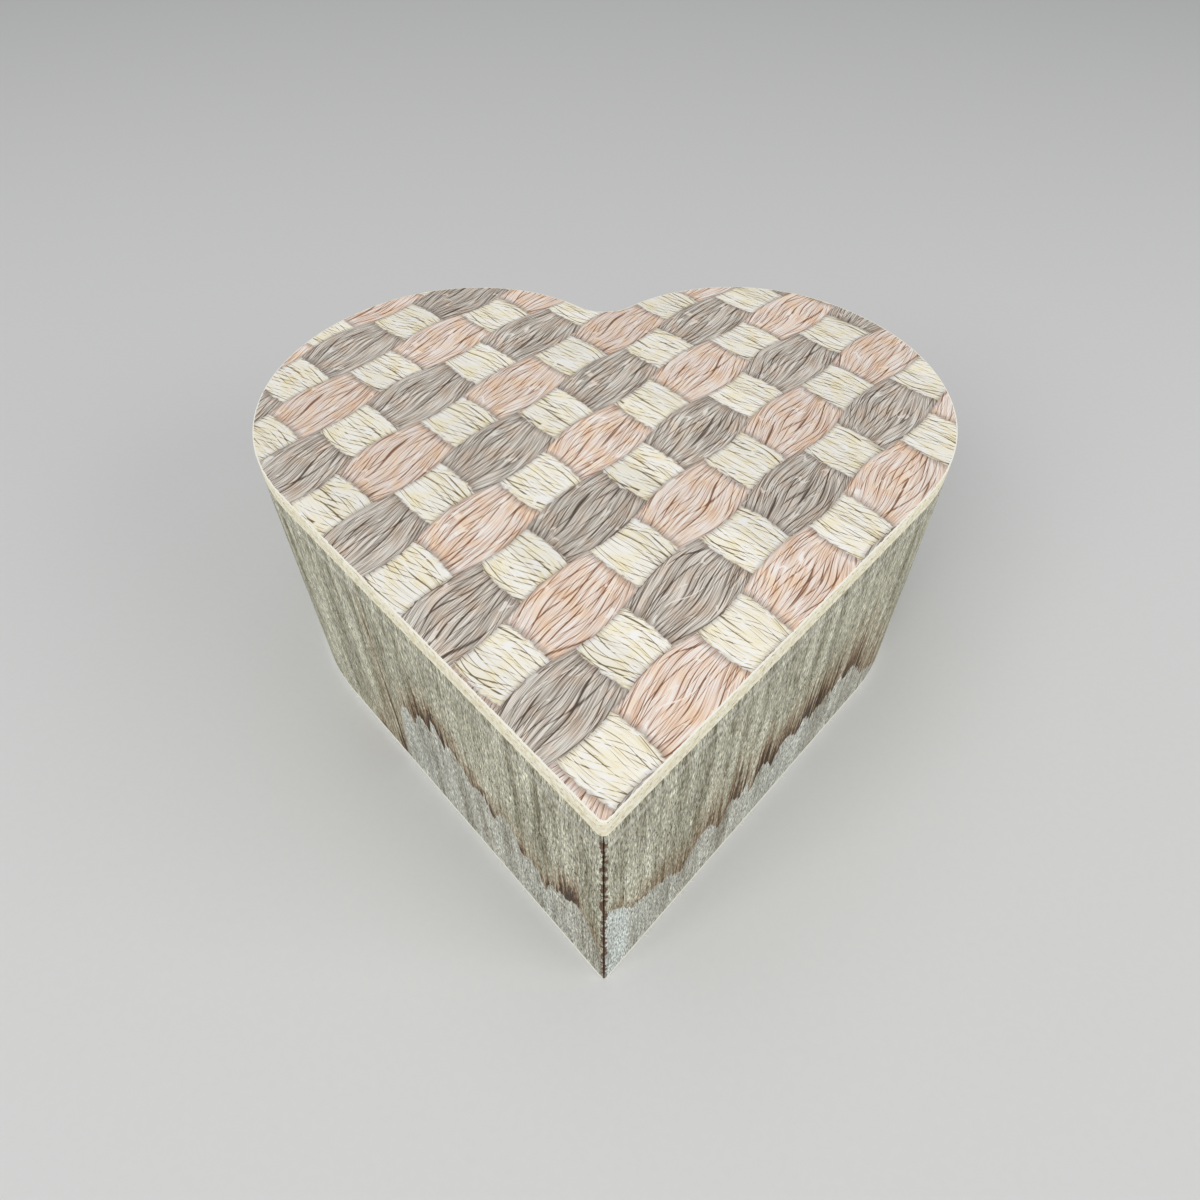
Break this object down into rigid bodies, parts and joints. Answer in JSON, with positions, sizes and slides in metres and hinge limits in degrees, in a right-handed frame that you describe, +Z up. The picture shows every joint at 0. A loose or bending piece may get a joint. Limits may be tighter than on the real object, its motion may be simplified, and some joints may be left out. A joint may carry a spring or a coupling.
{
  "type": "trinket box",
  "caption": "Heart-shaped wooden trinket box with a hinged lid, bent plywood walls, a flat top board carrying a printed woven-fibre sheet, and magnets in the tip corners.",
  "frame": {"origin": "centre of the bounding box, on the plane the box stands on", "axes": "+Z up; +Y from the heart's tip towards its cleft, where the hinges are; +X to the right lobe seen from the tip"},
  "size_m": [0.107, 0.1084, 0.0455],
  "materials": {
    "bent_plywood": "bare sanded plywood, grain upright, with a brown tide mark",
    "bare_board": "bare thin plywood board, sanded edge",
    "block_wood": "bare sawn softwood",
    "printed_paper": "matt printed paper with a picture of woven fibre, sanded white edge",
    "hinge_brass": "stamped brass, lightly polished",
    "magnet_plating": "nickel plated"
  },
  "bodies": {
    "box": {"box_wall_left": "bent_plywood", "box_wall_right": "bent_plywood", "base_board": "bare_board", "box_tip_block": "block_wood", "box_magnet": "magnet_plating", "hinge_left_box_leaf": "hinge_brass", "hinge_left_pin": "hinge_brass", "hinge_left_box_brad_1": "hinge_brass", "hinge_left_box_brad_2": "hinge_brass", "hinge_right_box_leaf": "hinge_brass", "hinge_right_pin": "hinge_brass", "hinge_right_box_brad_1": "hinge_brass", "hinge_right_box_brad_2": "hinge_brass"},
    "lid": {"lid_wall_left": "bent_plywood", "lid_wall_right": "bent_plywood", "lid_board": "bare_board", "lid_print_sheet": "printed_paper", "lid_tip_block": "block_wood", "lid_magnet": "magnet_plating", "hinge_left_lid_leaf": "hinge_brass", "hinge_left_lid_brad_1": "hinge_brass", "hinge_left_lid_brad_2": "hinge_brass", "hinge_right_lid_leaf": "hinge_brass", "hinge_right_lid_brad_1": "hinge_brass", "hinge_right_lid_brad_2": "hinge_brass"}
  },
  "joints": [
    {"name": "lid_hinge", "type": "hinge", "parent": "box", "child": "lid", "pos_m": [0, 0.05282, 0.0269], "axis": [-1, 0, 0], "range_deg": [0, 180]}
  ]
}
